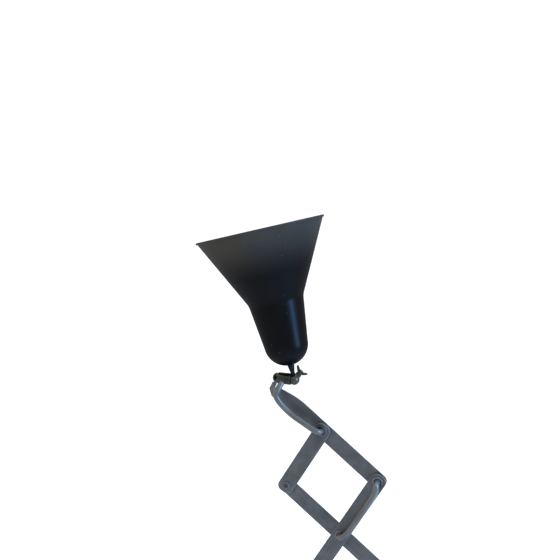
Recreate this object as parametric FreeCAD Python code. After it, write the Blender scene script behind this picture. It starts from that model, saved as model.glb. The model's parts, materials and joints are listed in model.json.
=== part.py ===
"""Lazy-tongs desk lamp: weighted base, swivelling fork, riveted scissor arm and a metal uplight shade.

Millimetres, +Z up. The origin is the centre of the base's underside, the scissor arm lies in the XZ plane,
and the reader sits on the -Y side. Front bars slant like "/", back bars slant like a backslash.
"""
import FreeCAD, Part
import os
from math import acos, asin, atan2, cos, degrees, pi, radians, sin, sqrt, tan

V = FreeCAD.Vector
X_AXIS = V(1, 0, 0)
Y_AXIS = V(0, 1, 0)
Z_AXIS = V(0, 0, 1)
ORIGIN = V(0, 0, 0)

# ---- fits ----
RUNNING = 0.05          # radial clearance where one piece turns on another
SEATED = 0.02           # radial clearance of pieces of one body
OPEN_PIVOT = 0.25       # radial clearance at the rivets that close a loop of the scissor
WASHER_GAP = 0.6        # thickness of the washers between the two layers of bars

# ---- base ----
BASE_RADIUS = 100.0
PAD_RADIUS = 94.0
PAD_THICKNESS = 2.0
WEIGHT_RADIUS = 96.0
WEIGHT_THICKNESS = 18.0
COVER_WALL = 1.2
COVER_SHOULDER_HEIGHT = 17.0
COVER_SHOULDER_RADIUS = 7.0
COVER_TOP_HEIGHT = 30.0
COVER_TOP_RADIUS = 22.0
CHANNEL_WIDTH = 16.0
CHANNEL_FLOOR = 6.0

# ---- post and its fixings ----
POST_RADIUS = 8.0
POST_BORE_RADIUS = 5.5
POST_BOTTOM = 6.0
COLLAR_RADIUS = 14.0
COLLAR_HEIGHT = 6.0
POST_NUT_ACROSS_FLATS = 24.0
POST_NUT_HEIGHT = 3.0

# ---- fork at the top of the post ----
PIVOT_HEIGHT = 118.0
SLEEVE_RADIUS = 11.5
SLEEVE_TOP_BELOW_PIVOT = 20.0
SLEEVE_LENGTH = 42.0
SLEEVE_OVERLAP = 18.0    # how far the sleeve comes down over the post
WEB_THICKNESS = 4.0
CHEEK_THICKNESS = 2.0
CHEEK_GAP = 0.6
CHEEK_WIDTH = 24.0
SCREW_HEIGHT = 7.0       # grub screw above the sleeve's lower end
SCREW_GROOVE = 4.6
SCREW_BITE = 0.8
GRUB_RADIUS = 2.0
PIVOT_TUBE_RADIUS = 6.0
PIVOT_TUBE_BORE = 4.5
RING_NUT_RADIUS = 11.0
RING_NUT_THICKNESS = 4.0
RING_NUT_GAP = 0.3
RING_NUT_FLUTES = 24
RING_FLUTE_RADIUS = 0.8

# ---- scissor arm ----
HALF_LINK = 85.0         # from a crossing to an elbow
HALF_ANGLE = 41.3        # between each bar and the line through the crossings, at rest
ARM_LEAN = 10.6          # lean of that line to the left of upright, at rest
RHOMBI = 3
BAR_WIDTH = 19.0
BAR_THICKNESS = 2.0
BAR_END = 9.0            # strip past the centre of an end pivot
BAR_CORNER = 7.5
EYELET_RADIUS = 5.25
EYELET_BORE = 4.4
EYELET_FLANGE = 6.4
RIVET_RADIUS = 3.5
RIVET_BORE = 2.5
RIVET_FLANGE = 5.2
FLANGE_THICKNESS = 0.8
WASHER_RADIUS = 8.0

# ---- head bar's twisted end and its tab ----
HUB_OFFSET = V(-54.8, 0, 57.7)     # hub bolt from the top crossing
HEAD_BAR_STRAIGHT = 37.0
TAB_WIDTH = 17.0
TAB_DEPTH = 6.5                    # tab below the hub bolt
CRANK_REACH = V(-16.0, 0, -11.0)   # pulls the strip's bend out to the left of the tab
TWIST_STEPS = 8

# ---- knuckle ----
HUB_RADIUS = 6.75
HUB_WASHER = 0.6
HUB_WALL = 2.4
HUB_BORE = 4.2
HUB_BOLT_RADIUS = 2.5
HUB_CAP_RADIUS = 6.0
HUB_CAP_HEIGHT = 4.6
SOCKET_OFFSET = 20.4     # ball centre from the tab's middle, along the hub
SOCKET_RADIUS = 6.3
BALL_RADIUS = 4.2
LEAD_HOLE_OFFSET = 8.6
LEAD_INLET_GAP = 1.9     # the held lead stops this far from the hub, which turns past it
LEAD_HOLE_WAY = V(-0.3, -0.68, -0.67)
LEAD_HOLE_FIT = 0.1
KNUCKLE_TURN = -6.3      # about X, at rest
HEAD_TILT = -16.0        # about the knuckle's own Y, at rest
TILT_LOW = -20.0
TILT_HIGH = 7.0

# ---- thumb screw ----
SCREW_SLANT = 37.0
SCREW_RADIUS = 1.8
SCREW_POINT_RADIUS = 0.9
SCREW_POINT_END = 7.2    # from the ball's centre
BOSS_RADIUS = 3.6
BOSS_REACH = 9.0
THUMB_COLLAR_RADIUS = 3.2
THUMB_COLLAR_TOP = 14.0
WING_REACH = 8.0
WING_TOP = 16.5
WING_THICKNESS = 1.8

# ---- stem and shade ----
STEM_LOW_RADIUS = 2.6
STEM_HIGH_RADIUS = 4.0
STEM_BORE = 1.7
STEM_LENGTH = 17.0       # ball centre to the shade's underside
STEM_THREAD_RADIUS = 3.2
STEM_THREAD_LENGTH = 14.0
SHADE_WALL = 1.0
SHADE_DOME_RADIUS = 25.4
SHADE_WAIST_RADIUS = 32.0
SHADE_WAIST_HEIGHT = 76.0
SHADE_WAIST_FILLET = 22.0
SHADE_MOUTH_RADIUS = 74.0
SHADE_LENGTH = 159.0
SHADE_BEAD_RADIUS = 1.4

# ---- lampholder and bulb ----
HOLDER_RADIUS = 19.0
HOLDER_WALL = 1.4
HOLDER_BASE = 9.0        # holder cap's foot above the shade's underside
HOLDER_CAP_LENGTH = 20.0
HOLDER_SHELL_LENGTH = 26.0
HOLDER_THREAD_LENGTH = 22.0
HOLDER_JOINT_GAP = 0.3
HOLDER_FLANGE_RADIUS = 20.5
HOLDER_THREAD_RADIUS = 13.6
BULB_CAP_RADIUS = 13.2
BULB_CAP_LENGTH = 24.0
BULB_RADIUS = 30.0
BULB_LENGTH = 104.0
BULB_NECK_RADIUS = 13.0
BULB_SEAT = 19.0         # bulb's bottom contact above the holder cap's foot

# ---- lead, free cord and plug ----
LEAD_RADIUS = 3.5
LEAD_BEND = 7.0
LEAD_STANDOFF = 9.2     # lead's centre line from the scissor's middle plane
LEAD_BOW = 5.0
HEAD_LEAD_ROUTE = [V(0, 0, 0), V(0, -9.2, 0), V(-17.5, -9.6, 10.8), V(-29.5, -9.8, 15.6),
                   V(-38.5, -10.2, 22.6), V(-44.6, -11.0, 30.6), V(-49.4, -11.9, 38.6)]
LEAD_INLET_RUN = 10.6    # start of the lead's last straight run, from the hub's face
GLAND_HEIGHT = 13.0
GLAND_RADIUS = 6.0
GLAND_LENGTH = 26.0
GLAND_TIP_RADIUS = 4.6
CORD_ROUTE = [V(0, 126, 13), V(0, 148, 13), V(5, 172, 6.4), V(11, 195, 3.6), V(11, 214, 3.6), V(4, 231, 3.6)]
COIL_CENTRE = V(-42, 238, 0)
COIL_MEAN_RADIUS = 35.5
COIL_BUNDLE_WIDTH = 22.0
COIL_HEIGHT = 14.0
PLUG_CENTRE_Y = 162.0
PLUG_LENGTH = 36.0
TAIL_ROUTE = [V(-87, 240, 10.4), V(-94, 224, 8.4), V(-97, 203, 6.7),
              V(-96, PLUG_CENTRE_Y + PLUG_LENGTH / 2, 6.5)]
PLUG_CENTRE = V(-96, PLUG_CENTRE_Y, 6.5)
PLUG_WIDTH = 25.0
PLUG_HEIGHT = 13.0
PIN_RADIUS = 2.0
PIN_LENGTH = 19.0
PIN_TIP_ROUND = 1.2
PIN_PITCH = 19.0

# ---- base switch ----
SWITCH_PLACE = V(38, -58, 0)
SWITCH_BUSH_RADIUS = 6.0
SWITCH_BUSH_HEIGHT = 8.0
SWITCH_NUT_RADIUS = 8.6
SWITCH_NUT_HEIGHT = 2.6
SWITCH_LEVER_LENGTH = 15.0
SWITCH_LEVER_ANGLE = 14.0
SWITCH_BODY_SIDE = 15.0
SWITCH_BODY_DEPTH = 12.0

# ---- places worked out from the sizes above ----
LEAN = radians(ARM_LEAN)
DOWN = V(sin(LEAN), 0, -cos(LEAN))
SIDE = V(cos(LEAN), 0, sin(LEAN))
STEP_DOWN = DOWN * (HALF_LINK * cos(radians(HALF_ANGLE)))
STEP_SIDE = SIDE * (HALF_LINK * sin(radians(HALF_ANGLE)))
BASE_PIVOT = V(0, 0, PIVOT_HEIGHT)
CROSSING = [BASE_PIVOT - STEP_DOWN * (2 * (RHOMBI - i)) for i in range(RHOMBI + 1)]
RIGHT = [CROSSING[i] + STEP_DOWN + STEP_SIDE for i in range(RHOMBI)]
LEFT = [CROSSING[i] + STEP_DOWN - STEP_SIDE for i in range(RHOMBI)]
HUB = CROSSING[0] + HUB_OFFSET
BALL = HUB + V(SOCKET_OFFSET, 0, 0)
LAYER_HALF_GAP = WASHER_GAP / 2
FRONT_LAYER = -(LAYER_HALF_GAP + BAR_THICKNESS)
BACK_LAYER = LAYER_HALF_GAP
LAYER_EDGE = LAYER_HALF_GAP + BAR_THICKNESS
CHEEK_INNER = LAYER_EDGE + CHEEK_GAP
CHEEK_OUTER = CHEEK_INNER + CHEEK_THICKNESS
RING_INNER = CHEEK_OUTER + RING_NUT_GAP
PIVOT_TUBE_END = RING_INNER + RING_NUT_THICKNESS + 0.5
PIVOT_STANDOFF = PIVOT_TUBE_END + LEAD_BEND
SLEEVE_TOP = PIVOT_HEIGHT - SLEEVE_TOP_BELOW_PIVOT
SLEEVE_BOTTOM = SLEEVE_TOP - SLEEVE_LENGTH
POST_TOP = SLEEVE_BOTTOM + SLEEVE_OVERLAP
WEIGHT_TOP = PAD_THICKNESS + WEIGHT_THICKNESS


# ---- small building helpers ----
def rod(start, direction, radius, length):
    """Solid round bar from a point along a direction."""
    return Part.makeCylinder(radius, length, start, direction)


def ring(start, direction, outer, inner, length):
    """Plain tube from a point along a direction."""
    return rod(start, direction, outer, length).cut(rod(start, direction, inner, length))


def revolved(points):
    """Solid of revolution about Z from (radius, height) corners."""
    wire = Part.makePolygon([V(r, 0, z) for r, z in points + points[:1]])
    return Part.Face(wire).revolve(ORIGIN, Z_AXIS, 360)


def revolved_edges(edges):
    """Solid of revolution about Z from the edges of a closed profile."""
    return Part.Face(Part.Wire(edges)).revolve(ORIGIN, Z_AXIS, 360)


def line(a, b):
    return Part.LineSegment(V(a[0], 0, a[1]), V(b[0], 0, b[1])).toShape()


def arc(a, middle, b):
    return Part.Arc(V(a[0], 0, a[1]), V(middle[0], 0, middle[1]), V(b[0], 0, b[1])).toShape()


def edges_along(shape, direction):
    """Straight edges parallel to a direction."""
    found = []
    for edge in shape.Edges:
        if len(edge.Vertexes) != 2:
            continue
        run = edge.Vertexes[1].Point - edge.Vertexes[0].Point
        if run.Length > 0.01 and run.cross(direction).Length < 1e-6:
            found.append(edge)
    return found


def hexagon(across_flats, height, place):
    """Hexagonal prism standing on Z."""
    corner = across_flats / sqrt(3)
    points = [V(corner * cos(radians(60 * i)), corner * sin(radians(60 * i)), 0) for i in range(7)]
    prism = Part.Face(Part.makePolygon(points)).extrude(V(0, 0, height))
    prism.translate(place)
    return prism


def rounded_route(points, radii):
    """Straight runs joined by tangent arcs, one radius for each inner point."""
    edges = []
    start = points[0]
    for i in range(1, len(points) - 1):
        corner = points[i]
        back = (points[i - 1] - corner).normalize()
        ahead = (points[i + 1] - corner).normalize()
        half_turn = (pi - acos(max(-1.0, min(1.0, back.dot(ahead))))) / 2
        reach = radii[i - 1] * tan(half_turn)
        first = corner + back * reach
        last = corner + ahead * reach
        bisector = (back + ahead).normalize()
        middle = corner + bisector * (radii[i - 1] / cos(half_turn) - radii[i - 1])
        edges.append(Part.LineSegment(start, first).toShape())
        edges.append(Part.Arc(first, middle, last).toShape())
        start = last
    edges.append(Part.LineSegment(start, points[-1]).toShape())
    return Part.Wire(edges)


def lead_tube(name, points, radii):
    """Round lead along a route; its volume is compared with its section times its length."""
    route = rounded_route(points, radii)
    section = Part.Wire(Part.makeCircle(LEAD_RADIUS, points[0], points[1] - points[0]))
    tube = route.makePipeShell([section], True, False)
    wanted = pi * LEAD_RADIUS ** 2 * route.Length
    print(name, "length %.1f, volume / section x length %.4f" % (route.Length, tube.Volume / wanted))
    return tube


def natural_radii(points):
    """Largest arcs that the runs allow: 0.45 of the shorter run over the tangent of half the turn."""
    radii = []
    for i in range(1, len(points) - 1):
        back = points[i] - points[i - 1]
        ahead = points[i + 1] - points[i]
        half_turn = acos(back.dot(ahead) / (back.Length * ahead.Length)) / 2
        radii.append(0.45 * min(back.Length, ahead.Length) / tan(half_turn))
    return radii


def free_cord(name, points):
    radii = natural_radii(points)
    print(name, "radii", [round(r, 1) for r in radii])
    return lead_tube(name, points, radii)


def compound(shapes):
    return Part.makeCompound(shapes)


# ---- base ----
def foot_pad():
    """Felt disc glued under the base."""
    return rod(ORIGIN, Z_AXIS, PAD_RADIUS, PAD_THICKNESS)


def foot_weight():
    """Cast-iron disc with a lead channel from the middle to the back and a pocket for the switch."""
    disc = rod(V(0, 0, PAD_THICKNESS), Z_AXIS, WEIGHT_RADIUS, WEIGHT_THICKNESS)
    disc = disc.makeFillet(3.0, [e for e in disc.Edges if abs(e.BoundBox.ZMin - WEIGHT_TOP) < 0.01
                                 and abs(e.BoundBox.ZMax - WEIGHT_TOP) < 0.01])
    channel_height = WEIGHT_TOP - CHANNEL_FLOOR
    channel = Part.makeBox(CHANNEL_WIDTH, WEIGHT_RADIUS + 10, channel_height + 1,
                           V(-CHANNEL_WIDTH / 2, 0, CHANNEL_FLOOR))
    hole = rod(ORIGIN, Z_AXIS, POST_RADIUS + SEATED, WEIGHT_TOP + 1)
    nut_pocket = rod(ORIGIN, Z_AXIS, POST_NUT_ACROSS_FLATS * 0.62, POST_BOTTOM + POST_NUT_HEIGHT + 0.5)
    switch_side = SWITCH_BODY_SIDE + 2
    switch_pocket = Part.makeBox(switch_side, switch_side, WEIGHT_THICKNESS,
                                 SWITCH_PLACE + V(-switch_side / 2, -switch_side / 2, PAD_THICKNESS + 3))
    return disc.cut(channel).cut(hole).cut(nut_pocket).cut(switch_pocket)


def cover_profile(offset):
    """Closed outline of the cover's outside, shrunk by an offset."""
    radius = BASE_RADIUS - offset
    shoulder = COVER_SHOULDER_RADIUS - offset
    rise_start = (BASE_RADIUS - COVER_SHOULDER_RADIUS, COVER_SHOULDER_HEIGHT + shoulder)
    top = COVER_TOP_HEIGHT - offset
    bend = COVER_SHOULDER_HEIGHT + shoulder * sin(radians(45))
    bend_radius = BASE_RADIUS - COVER_SHOULDER_RADIUS + shoulder * cos(radians(45))
    foot = PAD_THICKNESS + 0.5 if offset == 0 else -1.0
    return [
        line((0, foot), (radius, foot)),
        line((radius, foot), (radius, COVER_SHOULDER_HEIGHT)),
        arc((radius, COVER_SHOULDER_HEIGHT), (bend_radius, bend), rise_start),
        line(rise_start, (COVER_TOP_RADIUS, top)),
        line((COVER_TOP_RADIUS, top), (0, top)),
        line((0, top), (0, foot)),
    ]


def switch_seat():
    """Top of the cover's skin where the switch stands, halfway down its slope."""
    reach = sqrt(SWITCH_PLACE.x ** 2 + SWITCH_PLACE.y ** 2)
    edge = BASE_RADIUS - COVER_SHOULDER_RADIUS
    drop = COVER_TOP_HEIGHT - COVER_SHOULDER_HEIGHT - COVER_SHOULDER_RADIUS
    share = (reach - COVER_TOP_RADIUS) / (edge - COVER_TOP_RADIUS)
    return COVER_TOP_HEIGHT - drop * share


def base_cover():
    """Spun steel cover over the weight, drilled for the post, the switch and the cord's gland."""
    shell = revolved_edges(cover_profile(0)).cut(revolved_edges(cover_profile(COVER_WALL)))
    post_hole = rod(ORIGIN, Z_AXIS, POST_RADIUS + SEATED, 2 * COVER_TOP_HEIGHT)
    switch_hole = rod(SWITCH_PLACE, Z_AXIS, SWITCH_BUSH_RADIUS + SEATED, 2 * COVER_TOP_HEIGHT)
    gland_hole = rod(V(0, BASE_RADIUS - 15, GLAND_HEIGHT), Y_AXIS, GLAND_RADIUS - 1, 30)
    return shell.cut(post_hole).cut(switch_hole).cut(gland_hole)


def post():
    """Steel tube standing in the weight; the lead runs down inside it."""
    tube = ring(V(0, 0, POST_BOTTOM), Z_AXIS, POST_RADIUS, POST_BORE_RADIUS, POST_TOP - POST_BOTTOM)
    notch_width = 2 * LEAD_RADIUS + 1.4
    notch = Part.makeBox(notch_width, 2 * POST_RADIUS, GLAND_HEIGHT + 2 * LEAD_BEND,
                         V(-notch_width / 2, 0, 0))
    groove = ring(V(0, 0, SLEEVE_BOTTOM + SCREW_HEIGHT - SCREW_GROOVE / 2), Z_AXIS, POST_RADIUS + 1,
                  POST_RADIUS - SCREW_BITE, SCREW_GROOVE)
    return tube.cut(notch).cut(groove)


def post_collar():
    """Turned collar that presses the cover down round the post."""
    collar = revolved([(POST_RADIUS + SEATED, COVER_TOP_HEIGHT), (COLLAR_RADIUS, COVER_TOP_HEIGHT),
                       (COLLAR_RADIUS, COVER_TOP_HEIGHT + COLLAR_HEIGHT / 2),
                       (POST_RADIUS + 2.5, COVER_TOP_HEIGHT + COLLAR_HEIGHT),
                       (POST_RADIUS + SEATED, COVER_TOP_HEIGHT + COLLAR_HEIGHT)])
    return collar


def post_nut():
    """Flat nut under the weight that holds the post down."""
    nut = hexagon(POST_NUT_ACROSS_FLATS, POST_NUT_HEIGHT, V(0, 0, POST_BOTTOM))
    return nut.cut(rod(ORIGIN, Z_AXIS, POST_RADIUS + SEATED, 2 * POST_BOTTOM + POST_NUT_HEIGHT))


def cord_gland():
    """Rubber strain relief through the cover's back wall."""
    inner = BASE_RADIUS - COVER_WALL - 4
    bore = rod(V(0, inner - 1, GLAND_HEIGHT), Y_AXIS, LEAD_RADIUS + SEATED, GLAND_LENGTH + 20)
    body = rod(V(0, inner, GLAND_HEIGHT), Y_AXIS, GLAND_RADIUS - 1 - SEATED, 6)
    flange = rod(V(0, BASE_RADIUS + 0.1, GLAND_HEIGHT), Y_AXIS, GLAND_RADIUS + 1, 2)
    sleeve = Part.makeCone(GLAND_RADIUS - 0.5, GLAND_TIP_RADIUS, GLAND_LENGTH - 2,
                           V(0, BASE_RADIUS + 2.1, GLAND_HEIGHT), Y_AXIS)
    return body.fuse(flange).fuse(sleeve).cut(bore)


def base_lead():
    """Lead from the top of the post, down and out to the gland."""
    end = CORD_ROUTE[0]
    points = [V(0, 0, POST_TOP), V(0, 0, GLAND_HEIGHT), end]
    return lead_tube("base_lead", points, [2 * LEAD_BEND])


def switch_body():
    """Closed toggle switch block under the cover, with its threaded bush."""
    seat = switch_seat()
    side = SWITCH_BODY_SIDE
    block = Part.makeBox(side, side, SWITCH_BODY_DEPTH,
                         SWITCH_PLACE + V(-side / 2, -side / 2, seat - COVER_WALL - 3 - SWITCH_BODY_DEPTH))
    bush = rod(SWITCH_PLACE + V(0, 0, seat - COVER_WALL - 3), Z_AXIS, SWITCH_BUSH_RADIUS - SEATED,
               SWITCH_BUSH_HEIGHT)
    lever_room = Part.makeCone(1.9, SWITCH_BUSH_RADIUS - 1.5, SWITCH_BUSH_HEIGHT,
                               SWITCH_PLACE + V(0, 0, seat - COVER_WALL - 3), Z_AXIS)
    return block.fuse(bush).cut(lever_room)


def switch_pivot():
    """Centre of the toggle's ball, at the foot of the bush's mouth."""
    return SWITCH_PLACE + V(0, 0, switch_seat() - COVER_WALL - 3 + 2.2)


def switch_nut():
    """Knurled ring nut on the bush."""
    seat = switch_seat()
    place = SWITCH_PLACE + V(0, 0, seat + 0.9)
    nut = rod(place, Z_AXIS, SWITCH_NUT_RADIUS, SWITCH_NUT_HEIGHT)
    for i in range(18):
        angle = radians(20 * i)
        flute = V(SWITCH_NUT_RADIUS * cos(angle), SWITCH_NUT_RADIUS * sin(angle), 0)
        nut = nut.cut(rod(place + flute, Z_AXIS, 0.7, SWITCH_NUT_HEIGHT))
    return nut.cut(rod(place, Z_AXIS, SWITCH_BUSH_RADIUS, SWITCH_NUT_HEIGHT))


def switch_lever():
    """Toggle lever with a rounded tip."""
    low = switch_pivot()
    direction = V(sin(radians(-SWITCH_LEVER_ANGLE)), 0, cos(radians(SWITCH_LEVER_ANGLE)))
    ball = Part.makeSphere(1.6, low)
    shaft = Part.makeCone(1.2, 2.3, SWITCH_LEVER_LENGTH, low, direction)
    tip = Part.makeSphere(2.3, low + direction * SWITCH_LEVER_LENGTH)
    return ball.fuse(shaft).fuse(tip)


# ---- free cord ----
def supply_cord():
    return free_cord("supply_cord", CORD_ROUTE)


def cord_coil():
    """Outer shape of the put-away turns: a rounded ring lying flat."""
    outer = COIL_MEAN_RADIUS + COIL_BUNDLE_WIDTH / 2
    inner = COIL_MEAN_RADIUS - COIL_BUNDLE_WIDTH / 2
    coil = ring(COIL_CENTRE, Z_AXIS, outer, inner, COIL_HEIGHT)
    return coil.makeFillet(3.5, [e for e in coil.Edges if len(e.Vertexes) == 1])


def cord_tail():
    return free_cord("cord_tail", TAIL_ROUTE)


def plug_body():
    """Flat moulded two-pin plug, narrowing to the cord."""
    back = PLUG_CENTRE + V(0, PLUG_LENGTH / 2, 0)
    sections = []
    for share, width, height in ((0.0, 9.5, 9.0), (0.35, 17.0, 11.0), (0.6, PLUG_WIDTH, PLUG_HEIGHT),
                                 (1.0, PLUG_WIDTH, PLUG_HEIGHT)):
        y = back.y - share * PLUG_LENGTH
        corners = [V(back.x + a * width / 2, y, back.z + b * height / 2)
                   for a, b in ((-1, -1), (1, -1), (1, 1), (-1, 1), (-1, -1))]
        sections.append(Part.makePolygon(corners))
    body = Part.makeLoft(sections, True, True)
    return body


def plug_pins():
    """Two round contact pins."""
    front = PLUG_CENTRE - V(0, PLUG_LENGTH / 2, 0)
    pins = []
    for sign in (-1, 1):
        start = front + V(sign * PIN_PITCH / 2, 0, 0)
        pin = rod(start, -Y_AXIS, PIN_RADIUS, PIN_LENGTH)
        tip = start.y - PIN_LENGTH
        tip_edges = [e for e in pin.Edges if abs(e.BoundBox.YMax - tip) < 0.01]
        pins.append(pin.makeFillet(PIN_TIP_ROUND, tip_edges))
    return compound(pins)


# ---- fork and pivot tube ----
def pivot_fork():
    """Sleeve on the post with two cheeks that hold the arm's lowest crossing."""
    sleeve = rod(V(0, 0, SLEEVE_BOTTOM), Z_AXIS, SLEEVE_RADIUS, SLEEVE_LENGTH)
    web_depth = 2 * CHEEK_OUTER
    web = Part.makeBox(CHEEK_WIDTH, web_depth, WEB_THICKNESS,
                       V(-CHEEK_WIDTH / 2, -CHEEK_OUTER, SLEEVE_TOP - 0.5))
    body = sleeve.fuse(web)
    for y in (-CHEEK_OUTER, CHEEK_INNER):
        low = Part.makeBox(CHEEK_WIDTH, CHEEK_THICKNESS, PIVOT_HEIGHT - SLEEVE_TOP + 0.5,
                           V(-CHEEK_WIDTH / 2, y, SLEEVE_TOP - 0.5))
        head = rod(V(0, y, PIVOT_HEIGHT), Y_AXIS, CHEEK_WIDTH / 2, CHEEK_THICKNESS)
        body = body.fuse(low).fuse(head)
    body = body.removeSplitter()
    bore = rod(V(0, 0, SLEEVE_BOTTOM - 1), Z_AXIS, POST_RADIUS + RUNNING, SLEEVE_LENGTH - 4)
    pivot_hole = rod(V(0, -20, PIVOT_HEIGHT), Y_AXIS, PIVOT_TUBE_RADIUS + RUNNING, 40)
    entry = lead_entry()
    slot = rod(entry[0], entry[1] - entry[0], LEAD_RADIUS + 0.8, (entry[1] - entry[0]).Length)
    grub_hole = rod(V(0, 0, SLEEVE_BOTTOM + SCREW_HEIGHT), X_AXIS, GRUB_RADIUS + SEATED, 2 * SLEEVE_RADIUS)
    return body.cut(bore).cut(pivot_hole).cut(slot).cut(grub_hole)


def lead_entry():
    """Slanted stretch where the lead goes from behind the fork into its sleeve."""
    low = V(0, 0, POST_TOP + 8)
    high = V(0, PIVOT_STANDOFF, low.z + PIVOT_STANDOFF)
    return high, low


def fork_lead():
    """Lead through the pivot tube, down behind the fork and into its sleeve."""
    high, low = lead_entry()
    points = [V(0, -PIVOT_TUBE_END, PIVOT_HEIGHT), V(0, PIVOT_STANDOFF, PIVOT_HEIGHT), high, low,
              V(0, 0, POST_TOP)]
    return lead_tube("fork_lead", points, [LEAD_BEND, 1.5 * LEAD_BEND, LEAD_BEND])


def fork_screw():
    """Grub screw in the sleeve, run in a groove of the post so that the fork turns but can't lift off."""
    start = V(SLEEVE_RADIUS + 0.6, 0, SLEEVE_BOTTOM + SCREW_HEIGHT)
    screw = rod(start, -X_AXIS, GRUB_RADIUS, SLEEVE_RADIUS - POST_RADIUS + SCREW_BITE + 0.4)
    slot = Part.makeBox(0.8, 0.8, 2 * GRUB_RADIUS, start + V(-0.7, -0.4, -GRUB_RADIUS))
    return screw.cut(slot)


def pivot_tube():
    """Hollow threaded tube through the fork and both lower half bars."""
    return ring(V(0, -PIVOT_TUBE_END, PIVOT_HEIGHT), Y_AXIS, PIVOT_TUBE_RADIUS, PIVOT_TUBE_BORE,
                2 * PIVOT_TUBE_END)


def ring_nut(y):
    """Knurled ring nut on the pivot tube."""
    place = V(0, y, PIVOT_HEIGHT)
    nut = rod(place, Y_AXIS, RING_NUT_RADIUS, RING_NUT_THICKNESS)
    nut = nut.makeChamfer(0.6, [e for e in nut.Edges if len(e.Vertexes) == 1])
    for i in range(RING_NUT_FLUTES):
        angle = 2 * pi * i / RING_NUT_FLUTES
        flute = V(RING_NUT_RADIUS * cos(angle), 0, RING_NUT_RADIUS * sin(angle))
        nut = nut.cut(rod(place + flute, Y_AXIS, RING_FLUTE_RADIUS, RING_NUT_THICKNESS))
    return nut


def rear_ring_nut():
    bore = rod(V(0, RING_INNER, PIVOT_HEIGHT), Y_AXIS, PIVOT_TUBE_RADIUS + SEATED, RING_NUT_THICKNESS)
    return ring_nut(RING_INNER).cut(bore)


def lock_ring():
    """Front ring nut, the one that is turned by hand to lock the arm."""
    y = -RING_INNER - RING_NUT_THICKNESS
    bore = rod(V(0, y, PIVOT_HEIGHT), Y_AXIS, PIVOT_TUBE_RADIUS + RUNNING, RING_NUT_THICKNESS)
    return ring_nut(y).cut(bore)


# ---- scissor bars ----
def strip(start, end, layer, low_margin, high_margin):
    """Flat strip from start to end in one layer, with rounded corners."""
    run = end - start
    slant = degrees(atan2(run.z, run.x))
    shape = Part.makeBox(run.Length + low_margin + high_margin, BAR_THICKNESS, BAR_WIDTH,
                         V(-low_margin, layer, -BAR_WIDTH / 2))
    corners = edges_along(shape, Y_AXIS)
    if high_margin == 0:
        corners = [e for e in corners if e.BoundBox.XMin < run.Length / 2]
    shape = shape.makeFillet(BAR_CORNER, corners)
    shape.rotate(ORIGIN, Y_AXIS, -slant)
    shape.translate(start)
    return shape


def drilled(shape, holes):
    """Round holes along Y; each is a centre and a radius."""
    for centre, radius in holes:
        shape = shape.cut(rod(centre - V(0, 20, 0), Y_AXIS, radius, 40))
    return shape


def bar(start, end, layer, holes):
    return drilled(strip(start, end, layer, BAR_END, BAR_END), holes)


def eyelet_hole(fit):
    return EYELET_RADIUS + fit


def rivet_hole(fit):
    return RIVET_RADIUS + fit


def hollow_rivet(centre, barrel, bore, flange):
    """Tubular rivet with a rolled flange on both faces of the crossing."""
    face = LAYER_EDGE + 0.02
    body = rod(centre - V(0, face, 0), Y_AXIS, barrel, 2 * face)
    for start, direction in ((centre - V(0, face, 0), -Y_AXIS), (centre + V(0, face, 0), Y_AXIS)):
        disc = rod(start, direction, flange, FLANGE_THICKNESS)
        body = body.fuse(disc)
    body = body.removeSplitter()
    rims = [e for e in body.Edges if len(e.Vertexes) == 1
            and abs(abs(e.CenterOfMass.y - centre.y) - face - FLANGE_THICKNESS) < 0.01]
    body = body.makeFillet(0.5, rims)
    return body.cut(rod(centre - V(0, 10, 0), Y_AXIS, bore, 20))


def eyelet(centre):
    return hollow_rivet(centre, EYELET_RADIUS, EYELET_BORE, EYELET_FLANGE)


def rivet(centre):
    return hollow_rivet(centre, RIVET_RADIUS, RIVET_BORE, RIVET_FLANGE)


def washer(centre, barrel):
    """Flat washer between the two layers of a crossing."""
    return ring(centre - V(0, LAYER_HALF_GAP, 0), Y_AXIS, WASHER_RADIUS, barrel + SEATED, WASHER_GAP)


def eyelets(centres):
    """Hollow rivets that the lead passes through, each with its washer."""
    return compound([eyelet(c) for c in centres] + [washer(c, EYELET_RADIUS) for c in centres])


def rivets(centres):
    """Small tubular rivets, each with its washer."""
    return compound([rivet(c) for c in centres] + [washer(c, RIVET_RADIUS) for c in centres])


def pivot_washers():
    """Washers on the pivot tube: one between the half bars and one against each cheek."""
    hole = PIVOT_TUBE_RADIUS + SEATED
    thickness = CHEEK_GAP - 2 * SEATED
    front = ring(BASE_PIVOT - V(0, CHEEK_INNER - SEATED, 0), Y_AXIS, WASHER_RADIUS, hole, thickness)
    back = ring(BASE_PIVOT + V(0, LAYER_EDGE + SEATED, 0), Y_AXIS, WASHER_RADIUS, hole, thickness)
    return compound([front, washer(BASE_PIVOT, PIVOT_TUBE_RADIUS), back])


def lower_front_half():
    return bar(BASE_PIVOT, RIGHT[2], FRONT_LAYER,
               [(BASE_PIVOT, PIVOT_TUBE_RADIUS + RUNNING), (RIGHT[2], eyelet_hole(SEATED))])


def lower_back_half():
    return bar(BASE_PIVOT, LEFT[2], BACK_LAYER,
               [(BASE_PIVOT, PIVOT_TUBE_RADIUS + RUNNING), (LEFT[2], rivet_hole(SEATED))])


def front_bar_1():
    return bar(LEFT[2], RIGHT[1], FRONT_LAYER,
               [(LEFT[2], rivet_hole(RUNNING)), (CROSSING[2], eyelet_hole(SEATED)),
                (RIGHT[1], eyelet_hole(SEATED))])


def back_bar_1():
    return bar(RIGHT[2], LEFT[1], BACK_LAYER,
               [(RIGHT[2], eyelet_hole(RUNNING)), (CROSSING[2], eyelet_hole(OPEN_PIVOT)),
                (LEFT[1], rivet_hole(SEATED))])


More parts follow.
